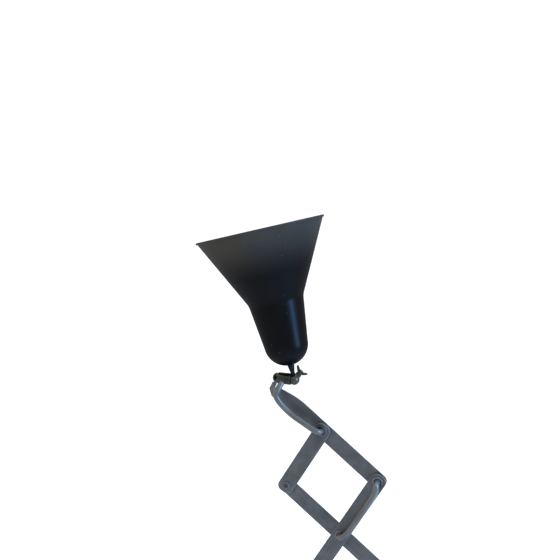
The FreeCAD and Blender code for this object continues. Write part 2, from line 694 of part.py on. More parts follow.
def front_bar_2():
    return bar(LEFT[1], RIGHT[0], FRONT_LAYER,
               [(LEFT[1], rivet_hole(RUNNING)), (CROSSING[1], eyelet_hole(SEATED)),
                (RIGHT[0], eyelet_hole(SEATED))])


def back_bar_2():
    return bar(RIGHT[1], LEFT[0], BACK_LAYER,
               [(RIGHT[1], eyelet_hole(RUNNING)), (CROSSING[1], eyelet_hole(OPEN_PIVOT)),
                (LEFT[0], rivet_hole(SEATED))])


def upper_front_half():
    return bar(LEFT[0], CROSSING[0], FRONT_LAYER,
               [(LEFT[0], rivet_hole(RUNNING)), (CROSSING[0], eyelet_hole(OPEN_PIVOT))])


def twisted_section(centre, width_way, thickness_way, width):
    """Rectangle across the strip, as a closed wire."""
    w = width_way * (width / 2)
    t = thickness_way * (BAR_THICKNESS / 2)
    corners = [centre - w - t, centre + w - t, centre + w + t, centre - w + t, centre - w - t]
    return Part.makePolygon(corners)


def head_bar():
    """Back bar that carries the head: flat strip, then bent upright and twisted a quarter turn into a tab."""
    along = (CROSSING[0] - RIGHT[0]).normalize()
    bend = CROSSING[0] + along * HEAD_BAR_STRAIGHT
    flat = strip(RIGHT[0], bend, BACK_LAYER, BAR_END, 0)
    start = bend + V(0, BACK_LAYER + BAR_THICKNESS / 2, 0)
    end = HUB - V(0, 0, TAB_DEPTH)
    first_handle = start + along * (0.45 * (end - start).Length)
    last_handle = end + CRANK_REACH
    sections = []
    for i in range(TWIST_STEPS + 1):
        s = i / TWIST_STEPS
        rest = 1 - s
        centre = (start * rest ** 3 + first_handle * (3 * s * rest ** 2)
                  + last_handle * (3 * s ** 2 * rest) + end * s ** 3)
        slope = ((first_handle - start) * rest ** 2 + (last_handle - first_handle) * (2 * s * rest)
                 + (end - last_handle) * s ** 2)
        run = (slope * (1 - s ** 4) + Z_AXIS * (s ** 4)).normalize()
        turn = (pi / 2) * s ** 3
        low_side = Y_AXIS.cross(run)
        width_way = low_side * cos(turn) - Y_AXIS * sin(turn)
        thickness_way = run.cross(width_way)
        width = BAR_WIDTH + (TAB_WIDTH - BAR_WIDTH) * s
        sections.append(twisted_section(centre, width_way, thickness_way, width))
    twist = Part.makeLoft(sections, True, True)
    tab_low = Part.makeBox(BAR_THICKNESS, TAB_WIDTH, TAB_DEPTH,
                           HUB + V(-BAR_THICKNESS / 2, -TAB_WIDTH / 2, -TAB_DEPTH))
    tab_round = rod(HUB - V(BAR_THICKNESS / 2, 0, 0), X_AXIS, TAB_WIDTH / 2, BAR_THICKNESS)
    body = flat.fuse(twist).fuse(tab_low).fuse(tab_round).removeSplitter()
    body = drilled(body, [(RIGHT[0], eyelet_hole(RUNNING)), (CROSSING[0], eyelet_hole(SEATED))])
    return body.cut(rod(HUB - V(10, 0, 0), X_AXIS, HUB_BOLT_RADIUS + SEATED, 20))


# ---- lead along the arm ----
def lead_stretch(name, start, end, side, start_face, end_face):
    """Lead from one pivot's bore to the next, bowed to the right, on one face of the arm."""
    run = (end - start).normalize()
    outward = V(abs(run.z), 0, -run.x if run.z > 0 else run.x)
    length = (end - start).Length
    low = V(0, side * start_face, 0)
    high = V(0, side * end_face, 0)
    first = start + run * (0.34 * length) + outward * LEAD_BOW + V(0, side * LEAD_STANDOFF, 0)
    second = start + run * (0.66 * length) + outward * LEAD_BOW + V(0, side * LEAD_STANDOFF, 0)
    points = [start, start + low, first, second, end + high, end]
    return lead_tube(name, points, [LEAD_BEND, 40, 40, LEAD_BEND])


def arm_lead(name, start, end, side):
    """Stretch between two crossings' hollow rivets, with the same straight entry at both ends."""
    return lead_stretch(name, start, end, side, LEAD_STANDOFF, LEAD_STANDOFF)


def lower_lead():
    """Last stretch, from the lowest elbow into the pivot tube."""
    return lead_stretch("lower_front_half_lead", RIGHT[2], BASE_PIVOT - V(0, PIVOT_TUBE_END, 0), -1,
                        LEAD_STANDOFF, LEAD_BEND + 2)


def head_lead():
    """Lead from the top crossing along the head bar's near side to just under the knuckle."""
    inlet = lead_inlet(HUB_RADIUS + LEAD_INLET_GAP)
    points = [CROSSING[0] + offset for offset in HEAD_LEAD_ROUTE]
    points += [lead_inlet(LEAD_INLET_RUN + HUB_RADIUS), inlet]
    return lead_tube("head_lead", points, [LEAD_BEND] + natural_radii(points)[1:])


def lead_inlet(reach):
    """Point on the line that the lead takes into the hub, at a distance from the hub's axis."""
    return HUB + V(LEAD_HOLE_OFFSET, 0, 0) + V(LEAD_HOLE_WAY).normalize() * reach


# ---- knuckle ----
def turned_with_knuckle(shape):
    shape.rotate(HUB, X_AXIS, KNUCKLE_TURN)
    return shape


def screw_direction():
    return V(sin(radians(SCREW_SLANT)), 0, cos(radians(SCREW_SLANT)))


def knuckle():
    """Cast knuckle: hollow hub on the tab's bolt, ball socket, and the boss of the thumb screw."""
    hub_start = BAR_THICKNESS / 2 + HUB_WASHER
    hub_length = SOCKET_OFFSET - hub_start
    hub = rod(HUB + V(hub_start, 0, 0), X_AXIS, HUB_RADIUS, hub_length - 3.5)
    hub = hub.makeFillet(0.8, [e for e in hub.Edges if len(e.Vertexes) == 1])
    neck = rod(HUB + V(hub_start + 6, 0, 0), X_AXIS, HUB_RADIUS - 1.3, hub_length - 6)
    socket = Part.makeSphere(SOCKET_RADIUS, BALL)
    boss = rod(BALL, screw_direction(), BOSS_RADIUS, BOSS_REACH)
    body = hub.fuse(neck).fuse(socket).fuse(boss)
    cavity = Part.makeSphere(BALL_RADIUS + RUNNING, BALL)
    bore = rod(HUB + V(hub_start + HUB_WALL, 0, 0), X_AXIS, HUB_BORE - 0.6, hub_length - HUB_WALL)
    bolt_hole = rod(HUB, X_AXIS, HUB_BOLT_RADIUS + RUNNING, hub_start + HUB_WALL + 1)
    lead_hole = rod(HUB + V(LEAD_HOLE_OFFSET, 0, 0), V(LEAD_HOLE_WAY).normalize(),
                    LEAD_RADIUS + LEAD_HOLE_FIT, HUB_RADIUS + 2)
    screw_hole = rod(BALL, screw_direction(), SCREW_RADIUS + RUNNING, BOSS_REACH + 2)
    body = body.cut(cavity).cut(bore).cut(bolt_hole).cut(screw_hole).cut(stem_slot())
    return turned_with_knuckle(body).cut(lead_hole)


def stem_slot():
    """Slot through the socket's crown that the stem swings in."""
    half = STEM_LOW_RADIUS + 0.5
    reach = SOCKET_RADIUS + 6
    low = radians(HEAD_TILT + TILT_LOW)
    high = radians(HEAD_TILT + TILT_HIGH)
    slot = None
    for angle in (low, high):
        way = V(sin(angle), 0, cos(angle))
        groove = rod(BALL, way, half, reach)
        slot = groove if slot is None else slot.fuse(groove)
    fan = Part.makePolygon([BALL + V(0, -half, 0), BALL + V(reach * sin(low), -half, reach * cos(low)),
                            BALL + V(reach * sin(high), -half, reach * cos(high)), BALL + V(0, -half, 0)])
    return slot.fuse(Part.Face(fan).extrude(V(0, 2 * half, 0)))


def hub_washer():
    """Fibre washer between the tab and the knuckle."""
    return ring(HUB + V(BAR_THICKNESS / 2, 0, 0), X_AXIS, HUB_RADIUS - 0.5, HUB_BOLT_RADIUS + SEATED,
                HUB_WASHER)


def hub_bolt():
    """Dome-headed shoulder bolt through the tab into the knuckle."""
    base = HUB - V(BAR_THICKNESS / 2, 0, 0)
    dome_radius = (HUB_CAP_RADIUS ** 2 + HUB_CAP_HEIGHT ** 2) / (2 * HUB_CAP_HEIGHT)
    ball = Part.makeSphere(dome_radius, base - V(HUB_CAP_HEIGHT - dome_radius, 0, 0))
    dome = ball.common(rod(base, -X_AXIS, HUB_CAP_RADIUS, HUB_CAP_HEIGHT + 1))
    shank_length = BAR_THICKNESS + HUB_WASHER + HUB_WALL
    return dome.fuse(rod(base, X_AXIS, HUB_BOLT_RADIUS, shank_length))


def thumb_screw():
    """Winged screw that presses on the ball."""
    way = screw_direction()
    start = BALL_RADIUS + 0.15
    point = rod(BALL + way * start, way, SCREW_POINT_RADIUS, SCREW_POINT_END - start)
    shank = rod(BALL + way * SCREW_POINT_END, way, SCREW_RADIUS, THUMB_COLLAR_TOP - SCREW_POINT_END)
    collar = Part.makeCone(THUMB_COLLAR_RADIUS, THUMB_COLLAR_RADIUS - 0.6, THUMB_COLLAR_TOP - BOSS_REACH - 0.4,
                           BALL + way * (BOSS_REACH + 0.4), way)
    body = point.fuse(shank).fuse(collar)
    across = V(way.z, 0, -way.x)
    low = BOSS_REACH + 1.4
    half = V(0, WING_THICKNESS / 2, 0)
    for sign in (-1, 1):
        outline = [(1.0, low), (4.2, low + 0.5), (WING_REACH, WING_TOP - 1.8), (WING_REACH - 0.6, WING_TOP),
                   (5.2, WING_TOP - 0.9), (2.2, THUMB_COLLAR_TOP - 0.4)]
        points = [BALL + across * (sign * a) + way * b - half for a, b in outline + outline[:1]]
        body = body.fuse(Part.Face(Part.makePolygon(points)).extrude(half * 2))
    body = body.removeSplitter()
    return turned_with_knuckle(body)


# ---- head: built upright on the ball's centre, then tilted ----
def placed_head(shape):
    shape.translate(BALL)
    shape.rotate(BALL, Y_AXIS, HEAD_TILT)
    return turned_with_knuckle(shape)


def stem():
    """Ball, taper and threaded end in one turned piece, bored for the conductors."""
    low = sqrt(BALL_RADIUS ** 2 - STEM_LOW_RADIUS ** 2)
    ball = Part.makeSphere(BALL_RADIUS)
    taper = revolved([(0, 0), (STEM_LOW_RADIUS, low - 0.5), (STEM_LOW_RADIUS, low + 6),
                      (STEM_HIGH_RADIUS, STEM_LENGTH - 1), (STEM_HIGH_RADIUS, STEM_LENGTH), (0, STEM_LENGTH)])
    thread = rod(V(0, 0, STEM_LENGTH), Z_AXIS, STEM_THREAD_RADIUS, STEM_THREAD_LENGTH)
    body = ball.fuse(taper).fuse(thread)
    return placed_head(body.cut(rod(V(0, 0, -BALL_RADIUS - 1), Z_AXIS, STEM_BORE, 60)))


def stem_nut():
    """Hexagon nut inside the dome."""
    floor = STEM_LENGTH + SHADE_WALL + 2.2
    nut = hexagon(13.0, 4.0, V(0, 0, floor))
    return placed_head(nut.cut(rod(ORIGIN, Z_AXIS, STEM_THREAD_RADIUS + SEATED, 60)))


def waist_fillet(offset):
    """Tangent points and middle of the arc between the neck's and the mouth's slopes."""
    low = V(SHADE_DOME_RADIUS - offset, 0, SHADE_DOME_RADIUS)
    waist = V(SHADE_WAIST_RADIUS - offset, 0, SHADE_WAIST_HEIGHT)
    mouth = V(SHADE_MOUTH_RADIUS - offset, 0, SHADE_LENGTH)
    back = (low - waist).normalize()
    ahead = (mouth - waist).normalize()
    half_turn = (pi - acos(back.dot(ahead))) / 2
    radius = SHADE_WAIST_FILLET + offset
    reach = radius * tan(half_turn)
    bisector = (back + ahead).normalize()
    middle = waist + bisector * (radius / cos(half_turn) - radius)
    first = waist + back * reach
    last = waist + ahead * reach
    return [(p.x, p.z) for p in (low, first, middle, last, mouth)]


def shade_outline(offset):
    """Closed profile of the shade's outside moved inwards by an offset, from its axis round to its axis."""
    low, first, middle, last, mouth = waist_fillet(offset)
    bottom = (0, offset)
    side = SHADE_DOME_RADIUS - offset
    bend = (side * sin(radians(45)), SHADE_DOME_RADIUS - side * cos(radians(45)))
    top = SHADE_LENGTH if offset == 0 else SHADE_LENGTH + 5
    rim = mouth if offset == 0 else (mouth[0] + 5 * (mouth[0] - last[0]) / (mouth[1] - last[1]), top)
    return [arc(bottom, bend, low), line(low, first), arc(first, middle, last), line(last, rim),
            line(rim, (0, top)), line((0, top), bottom)]


def shade():
    """Spun funnel: domed bottom, tapering neck, flared mouth and a rolled bead."""
    shell = revolved_edges(shade_outline(0)).cut(revolved_edges(shade_outline(SHADE_WALL)))
    bead = Part.makeTorus(SHADE_MOUTH_RADIUS - SHADE_WALL / 2, SHADE_BEAD_RADIUS, V(0, 0, SHADE_LENGTH - 0.6))
    body = shell.fuse(bead)
    body.translate(V(0, 0, STEM_LENGTH))
    body = body.cut(rod(ORIGIN, Z_AXIS, STEM_THREAD_RADIUS + SEATED, STEM_LENGTH + 10))
    return placed_head(body)


def holder_cap():
    """Domed lower half of the lampholder, screwed on the stem's thread."""
    foot = STEM_LENGTH + HOLDER_BASE
    radius = HOLDER_RADIUS
    outer = revolved([(0, foot), (9, foot), (radius - 3, foot + 5), (radius, foot + 10),
                      (radius, foot + HOLDER_CAP_LENGTH), (0, foot + HOLDER_CAP_LENGTH)])
    inner = revolved([(0, foot + 3), (8, foot + 3), (radius - 5, foot + 8), (radius - HOLDER_WALL, foot + 12),
                      (radius - HOLDER_WALL, foot + HOLDER_CAP_LENGTH + 1), (0, foot + HOLDER_CAP_LENGTH + 1)])
    thread_hole = rod(ORIGIN, Z_AXIS, STEM_THREAD_RADIUS + SEATED, foot + 10)
    return placed_head(outer.cut(inner).cut(thread_hole))


def holder_shell():
    """Upper half of the lampholder, with a flange round its mouth."""
    foot = STEM_LENGTH + HOLDER_BASE + HOLDER_CAP_LENGTH + HOLDER_JOINT_GAP
    tube = ring(V(0, 0, foot), Z_AXIS, HOLDER_RADIUS, HOLDER_THREAD_RADIUS + 2.2, HOLDER_SHELL_LENGTH)
    flange = ring(V(0, 0, foot + HOLDER_SHELL_LENGTH - 5), Z_AXIS, HOLDER_FLANGE_RADIUS,
                  HOLDER_THREAD_RADIUS + 2.2, 3)
    return placed_head(tube.fuse(flange))


def holder_thread():
    """Brass screw shell that takes the bulb's cap."""
    foot = STEM_LENGTH + HOLDER_BASE + BULB_SEAT + 2
    return placed_head(ring(V(0, 0, foot), Z_AXIS, HOLDER_THREAD_RADIUS + 1, HOLDER_THREAD_RADIUS,
                            HOLDER_THREAD_LENGTH))


def holder_insert():
    """Ceramic block under the bulb, with its spring contact."""
    foot = STEM_LENGTH + HOLDER_BASE + 13.5
    block = rod(V(0, 0, foot), Z_AXIS, HOLDER_THREAD_RADIUS - 0.6, 4.5)
    return placed_head(block)


def bulb_cap():
    """Screw cap of the bulb, tapering to its bottom contact."""
    foot = STEM_LENGTH + HOLDER_BASE + BULB_SEAT
    cap = revolved([(0, foot), (4.5, foot), (5.5, foot + 2), (BULB_CAP_RADIUS - 1.5, foot + 5),
                    (BULB_CAP_RADIUS, foot + 7), (BULB_CAP_RADIUS, foot + BULB_CAP_LENGTH),
                    (0, foot + BULB_CAP_LENGTH)])
    return placed_head(cap)


def bulb_glass():
    """Pear-shaped glass envelope, closed and treated as solid."""
    foot = STEM_LENGTH + HOLDER_BASE + BULB_SEAT + BULB_CAP_LENGTH + 0.1
    crown = STEM_LENGTH + HOLDER_BASE + BULB_SEAT + BULB_LENGTH
    centre = crown - BULB_RADIUS
    rise = centre - foot
    tangent_angle = asin((BULB_RADIUS - BULB_NECK_RADIUS) / rise)
    touch = (BULB_RADIUS * cos(tangent_angle), centre - BULB_RADIUS * sin(tangent_angle))
    side = (BULB_RADIUS, centre)
    edges = [line((0, foot), (BULB_NECK_RADIUS, foot)), line((BULB_NECK_RADIUS, foot), touch),
             arc(touch, side, (0, crown)), line((0, crown), (0, foot))]
    return placed_head(revolved_edges(edges))


def export(name, shape):
    if shape.isNull() or not shape.isValid():
        print("CHECK SHAPE", name)
    shape.exportStep("parts/" + name + ".step")


def main():
    os.makedirs("parts", exist_ok=True)
    pieces = {
        "foot_pad": foot_pad(),
        "foot_weight": foot_weight(),
        "base_cover": base_cover(),
        "post": post(),
        "post_collar": post_collar(),
        "post_nut": post_nut(),
        "cord_gland": cord_gland(),
        "base_lead": base_lead(),
        "switch_body": switch_body(),
        "switch_nut": switch_nut(),
        "switch_lever": switch_lever(),
        "supply_cord": supply_cord(),
        "cord_coil": cord_coil(),
        "cord_tail": cord_tail(),
        "plug_body": plug_body(),
        "plug_pins": plug_pins(),
        "pivot_fork": pivot_fork(),
        "fork_lead": fork_lead(),
        "fork_screw": fork_screw(),
        "pivot_tube": pivot_tube(),
        "pivot_washers": pivot_washers(),
        "rear_ring_nut": rear_ring_nut(),
        "lock_ring": lock_ring(),
        "lower_front_half": lower_front_half(),
        "lower_front_half_rivets": eyelets([RIGHT[2]]),
        "lower_back_half": lower_back_half(),
        "lower_back_half_rivets": rivets([LEFT[2]]),
        "front_bar_1": front_bar_1(),
        "front_bar_1_rivets": eyelets([CROSSING[2], RIGHT[1]]),
        "back_bar_1": back_bar_1(),
        "back_bar_1_rivets": rivets([LEFT[1]]),
        "front_bar_2": front_bar_2(),
        "front_bar_2_rivets": eyelets([CROSSING[1], RIGHT[0]]),
        "back_bar_2": back_bar_2(),
        "back_bar_2_rivets": rivets([LEFT[0]]),
        "upper_front_half": upper_front_half(),
        "head_bar": head_bar(),
        "head_bar_rivets": eyelets([CROSSING[0]]),
        "lower_front_half_lead": lower_lead(),
        "back_bar_1_lead": arm_lead("back_bar_1_lead", CROSSING[2], RIGHT[2], 1),
        "front_bar_1_lead": arm_lead("front_bar_1_lead", RIGHT[1], CROSSING[2], -1),
        "back_bar_2_lead": arm_lead("back_bar_2_lead", CROSSING[1], RIGHT[1], 1),
        "front_bar_2_lead": arm_lead("front_bar_2_lead", RIGHT[0], CROSSING[1], -1),
        "head_bar_lead": arm_lead("head_bar_lead", CROSSING[0], RIGHT[0], 1),
        "head_lead": head_lead(),
        "hub_bolt": hub_bolt(),
        "hub_washer": hub_washer(),
        "knuckle": knuckle(),
        "thumb_screw": thumb_screw(),
        "stem": stem(),
        "stem_nut": stem_nut(),
        "shade": shade(),
        "holder_cap": holder_cap(),
        "holder_shell": holder_shell(),
        "holder_thread": holder_thread(),
        "holder_insert": holder_insert(),
        "bulb_cap": bulb_cap(),
        "bulb_glass": bulb_glass(),
    }
    for name, shape in pieces.items():
        export(name, shape)
    print(len(pieces), "nodes; hub", HUB, "ball", BALL)


main()
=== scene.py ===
import bpy
import json
from math import asin, atan, cos, pi, radians, sin
from mathutils import Matrix, Vector


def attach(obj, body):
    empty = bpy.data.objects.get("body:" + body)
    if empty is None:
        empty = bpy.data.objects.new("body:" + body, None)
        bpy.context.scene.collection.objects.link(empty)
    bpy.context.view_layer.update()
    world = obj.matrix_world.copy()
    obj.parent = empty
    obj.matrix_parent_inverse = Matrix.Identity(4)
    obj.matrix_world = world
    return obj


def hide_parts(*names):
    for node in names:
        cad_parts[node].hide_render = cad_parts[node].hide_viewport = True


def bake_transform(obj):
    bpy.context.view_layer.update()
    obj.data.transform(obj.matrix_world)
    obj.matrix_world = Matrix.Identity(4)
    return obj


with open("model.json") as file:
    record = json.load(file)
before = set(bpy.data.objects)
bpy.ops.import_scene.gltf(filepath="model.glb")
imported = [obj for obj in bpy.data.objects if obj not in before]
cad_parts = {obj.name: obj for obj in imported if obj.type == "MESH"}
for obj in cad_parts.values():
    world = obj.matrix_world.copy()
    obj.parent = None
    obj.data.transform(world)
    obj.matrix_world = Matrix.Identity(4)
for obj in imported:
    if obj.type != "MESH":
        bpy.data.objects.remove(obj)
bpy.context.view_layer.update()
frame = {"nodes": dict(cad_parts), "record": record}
MM = 0.001
pivot = {joint["name"]: Vector(joint["pos_m"]) for joint in frame["record"]["behaviour"]["joints"]}
RIGHT = [pivot["right_elbow_1"], pivot["right_elbow_2"], pivot["right_elbow_3"]]
LEFT = [pivot["left_elbow_1"], pivot["left_elbow_2"], pivot["left_elbow_3"]]
CROSSING = [RIGHT[0] + (LEFT[0] - RIGHT[1]) / 2, (LEFT[0] + RIGHT[1]) / 2, (LEFT[1] + RIGHT[2]) / 2]
HUB = pivot["hub_turn"]
BALL = pivot["head_tilt"]


# ---- camera, floor and light ----
# A plain pale floor that runs up to the horizon, with a tall cool window light on the right whose
# reflection runs down the black shade, a warm card on the left and a large soft light overhead.
camera = bpy.data.objects.new("camera", bpy.data.cameras.new("camera"))
bpy.context.collection.objects.link(camera)
camera.location = CROSSING[0] + Vector((0.4047, -1.2540, 0.5059))
camera.rotation_euler = (radians(90 - 13.985), 0, radians(20))
camera.data.lens = 78.57
camera.data.sensor_width = 36
bpy.context.scene.camera = camera


def linear(hex_colour, alpha=1.0):
    """An sRGB hex colour as linear values."""
    parts = [int(hex_colour[i:i + 2], 16) / 255 for i in (1, 3, 5)]
    return [p / 12.92 if p < 0.04045 else ((p + 0.055) / 1.055) ** 2.4 for p in parts] + [alpha]


def add(tree, kind, values=(), links=(), **settings):
    """Adds a node with its settings, the values of its sockets, and its inputs from other nodes."""
    made = tree.nodes.new("ShaderNode" + kind)
    for name, value in settings.items():
        setattr(made, name, value)
    for socket, value in dict(values).items():
        made.inputs[socket].default_value = value
    for socket, source in dict(links).items():
        tree.links.new(source, made.inputs[socket])
    return made


def surface(name, values):
    """A new material with one Principled shader; its tree and shader are returned with it."""
    made = bpy.data.materials.new(name)
    made.use_nodes = True
    tree = made.node_tree
    tree.nodes.clear()
    shader = add(tree, "BsdfPrincipled", values)
    add(tree, "OutputMaterial", links={"Surface": shader.outputs["BSDF"]})
    place = add(tree, "TexCoord").outputs["Object"]
    return made, tree, shader, place


def ramp(tree, source, dark, light, low=0.0, high=1.0):
    """A colour that goes from dark to light as the source goes from low to high."""
    tone = add(tree, "ValToRGB", links={"Fac": source})
    for element, position, colour in zip(tone.color_ramp.elements, (low, high), (dark, light)):
        element.position = position
        element.color = linear(colour)
    return tone.outputs["Color"]


def glossed(tree, shader, source, low, high):
    """Lets the roughness follow the source between two values."""
    gloss = add(tree, "MapRange", {"To Min": low, "To Max": high}, {"Value": source})
    tree.links.new(gloss.outputs["Result"], shader.inputs["Roughness"])


def bumped(tree, shader, source, strength, distance=0.0002):
    """Lets the surface follow the source; the distance is in metres."""
    bump = add(tree, "Bump", {"Strength": strength, "Distance": distance}, {"Height": source})
    tree.links.new(bump.outputs["Normal"], shader.inputs["Normal"])


def deselect():
    """Back to object mode with nothing selected."""
    if bpy.context.object and bpy.context.object.mode != "OBJECT":
        bpy.ops.object.mode_set(mode="OBJECT")
    bpy.ops.object.select_all(action="DESELECT")


def pick(made):
    """Selects one object alone and makes it the active one."""
    deselect()
    made.select_set(True)
    bpy.context.view_layer.objects.active = made


deselect()
bpy.ops.mesh.primitive_plane_add(size=400)
floor = bpy.context.object
floor.name = "floor"
floor.data.materials.append(surface("pale_floor", {"Base Color": linear("#ffffff"), "Roughness": 0.9})[0])

world = bpy.data.worlds.new("studio")
world.use_nodes = True
background = world.node_tree.nodes["Background"]
background.inputs["Color"].default_value = linear("#fbfcfe")
background.inputs["Strength"].default_value = 1.12
bpy.context.scene.world = world
bpy.context.scene.view_settings.view_transform = "Standard"


def soft_light(name, centre, aim, width, height, power, colour):
    """A rectangular soft light that looks at a point."""
    data = bpy.data.lights.new(name, "AREA")
    data.shape = "RECTANGLE"
    data.size = width
    data.size_y = height
    data.energy = power
    data.color = linear(colour)[:3]
    made = bpy.data.objects.new(name, data)
    made.location = centre
    made.rotation_euler = (Vector(aim) - Vector(centre)).to_track_quat("-Z", "Y").to_euler()
    bpy.context.collection.objects.link(made)


SHADE_MIDDLE = (-0.15, 0.0, 0.63)
soft_light("window", (0.92, -0.12, 0.86), SHADE_MIDDLE, 0.3, 0.8, 38, "#6fa6e6")
soft_light("overhead", (-0.2, -0.4, 2.2), SHADE_MIDDLE, 1.6, 1.2, 16, "#ffffff")
soft_light("warm_card", (-1.1, -0.5, 0.9), SHADE_MIDDLE, 0.5, 0.8, 2, "#ffe2b8")


# ---- free cord ----
# A round grey PVC mains lead, 7 mm across, that leaves the back of the base and is wound up behind it
# for storage. Its turns are pressed side by side in two layers, and a black strap keeps them together.
# Lengths from here on are in millimetres, apart from those given to modifiers and bumps, in metres.
CORD_RADIUS = 3.5
ROUTE = [(0, 126, 13), (0, 148, 13), (5, 172, 6.4), (11, 195, 3.9), (11, 214, 3.9), (4, 231, 3.9)]
TAIL = [(-87, 240, 10.4), (-94, 224, 8.4), (-97, 203, 6.7), (-96, 180, 6.5), (-96, 172, 6.5)]
COIL_CENTRE = Vector((-42, 238, 0))
TURN_RADII = [43.0, 35.8, 28.6, 28.6, 35.8, 43.0]
LAYER_HEIGHTS = [3.9, 3.9, 3.9, 10.7, 10.7, 10.7]
POINTS_A_TURN = 18
CROSSOVER = 0.2
TURNS = 5.5


def winding(share, steps):
    """Value for a place along the winding: steady for most of a turn, then eased to the next turn's."""
    turn = min(int(share), len(steps) - 1)
    following = steps[min(turn + 1, len(steps) - 1)]
    ease = max(0.0, (share - turn - (1 - CROSSOVER)) / CROSSOVER)
    return steps[turn] + (following - steps[turn]) * (3 * ease ** 2 - 2 * ease ** 3)


def pvc(name, tint, dark):
    """Plasticised PVC sheath: extruded smooth, so a soft clear highlight, with faint handling marks."""
    made, tree, shader, place = surface(name, {"Roughness": 0.34, "IOR": 1.53})
    marks = add(tree, "TexNoise", {"Scale": 55.0, "Detail": 5.0}, {"Vector": place})
    tone = ramp(tree, marks.outputs["Fac"], dark, tint, 0.35, 0.7)
    tree.links.new(tone, shader.inputs["Base Color"])
    fine = add(tree, "TexNoise", {"Scale": 900.0, "Detail": 3.0}, {"Vector": place})
    glossed(tree, shader, marks.outputs["Fac"], 0.26, 0.42)
    bumped(tree, shader, fine.outputs["Fac"], 0.12)
    return made


grey_pvc = pvc("grey_pvc_sheath", "#484844", "#393936")
points = [Vector(p) for p in ROUTE]
start_angle = atan((points[-1].y - COIL_CENTRE.y) / (points[-1].x - COIL_CENTRE.x))
for i in range(1, int(TURNS * POINTS_A_TURN)):
    share = i / POINTS_A_TURN
    angle = start_angle + 2 * pi * share
    radius = winding(share, TURN_RADII)
    height = winding(share, LAYER_HEIGHTS)
    points.append(COIL_CENTRE + Vector((radius * cos(angle), radius * sin(angle), height)))
points += [Vector(p) for p in TAIL]


def tube_along(name, spots, radius, material):
    """A round tube on one NURBS spline through millimetre points; it stays a curve."""
    data = bpy.data.curves.new(name, "CURVE")
    data.dimensions = "3D"
    data.bevel_depth = radius * MM
    data.bevel_resolution = 6
    data.resolution_u = 8
    data.use_fill_caps = True
    spline = data.splines.new("NURBS")
    spline.points.add(len(spots) - 1)
    for control, spot in zip(spline.points, spots):
        control.co = (*(Vector(spot) * MM), 1)
    spline.order_u = 3
    spline.use_endpoint_u = True
    made = bpy.data.objects.new(name, data)
    bpy.context.collection.objects.link(made)
    data.materials.append(material)
    return made


free_cord = tube_along("free_cord", points, CORD_RADIUS, grey_pvc)
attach(free_cord, "base")
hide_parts("supply_cord", "cord_coil", "cord_tail")


# ---- plug, its pins and the coil's strap ----
# A flat two-pin plug moulded in black PVC round two nickel-plated brass pins, ribbed where fingers hold
# it and tapering back over the cord. The strap is a thin woven hook-and-loop tape.
PLUG = Vector((-96, 162, 6.5))


def rubbery(name, colour, grain, roughness):
    """Moulded soft PVC or rubber: dark and even, with the fine spark-eroded grain of its mould."""
    made, tree, shader, place = surface(name, {"Roughness": roughness, "IOR": 1.52})
    cloud = add(tree, "TexNoise", {"Scale": 30.0, "Detail": 4.0}, {"Vector": place})
    tone = ramp(tree, cloud.outputs["Fac"], colour, grain)
    tree.links.new(tone, shader.inputs["Base Color"])
    fine = add(tree, "TexNoise", {"Scale": 1400.0, "Detail": 2.0}, {"Vector": place})
    bumped(tree, shader, fine.outputs["Fac"], 0.25)
    return made


def finished(made, material, body, nodes=(), angle=35):
    """Applies a piece's place, smooths it, gives it its material and lets it ride on its body."""
    pick(made)
    bpy.ops.object.transform_apply(location=True, rotation=True, scale=True)
    bpy.ops.object.shade_smooth_by_angle(angle=radians(angle))
    if not made.data.materials:
        made.data.materials.append(material)
    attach(made, body)
    if nodes:
        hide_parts(*nodes)
    return made


def modify(made, kind, **settings):
    """Adds a modifier with its settings and applies it."""
    pick(made)
    modifier = made.modifiers.new(kind.lower(), kind)
    for name, value in settings.items():
        setattr(modifier, name, value)
    bpy.ops.object.modifier_apply(modifier=modifier.name)


def outward(made):
    """Merges doubles and turns every face outwards."""
    pick(made)
    bpy.ops.object.mode_set(mode="EDIT")
    bpy.ops.mesh.select_all(action="SELECT")
    bpy.ops.mesh.remove_doubles(threshold=0.00001)
    bpy.ops.mesh.normals_make_consistent(inside=False)
    bpy.ops.object.mode_set(mode="OBJECT")


def drawn_out(name, sides, stations, place=Matrix()):
    """A ring drawn out along its own Z through (width, depth, height) stations in millimetres."""
    deselect()
    bpy.ops.mesh.primitive_circle_add(vertices=sides, radius=1.0, fill_type="NGON")
    made = bpy.context.object
    made.name = name
    bpy.ops.object.mode_set(mode="EDIT")
    bpy.ops.mesh.select_all(action="SELECT")
    width, depth, height = stations[0]
    bpy.ops.transform.resize(value=(width * MM, depth * MM, 1))
    bpy.ops.transform.translate(value=(0, 0, height * MM))
    for wider, deeper, higher in stations[1:]:
        bpy.ops.mesh.extrude_region_move(TRANSFORM_OT_translate={"value": (0, 0, (higher - height) * MM)})
        bpy.ops.transform.resize(value=(wider / width, deeper / depth, 1),
                                 center_override=(0, 0, higher * MM))
        width, depth, height = wider, deeper, higher
    bpy.ops.object.mode_set(mode="OBJECT")
    made.matrix_world = place
    outward(made)
    return made


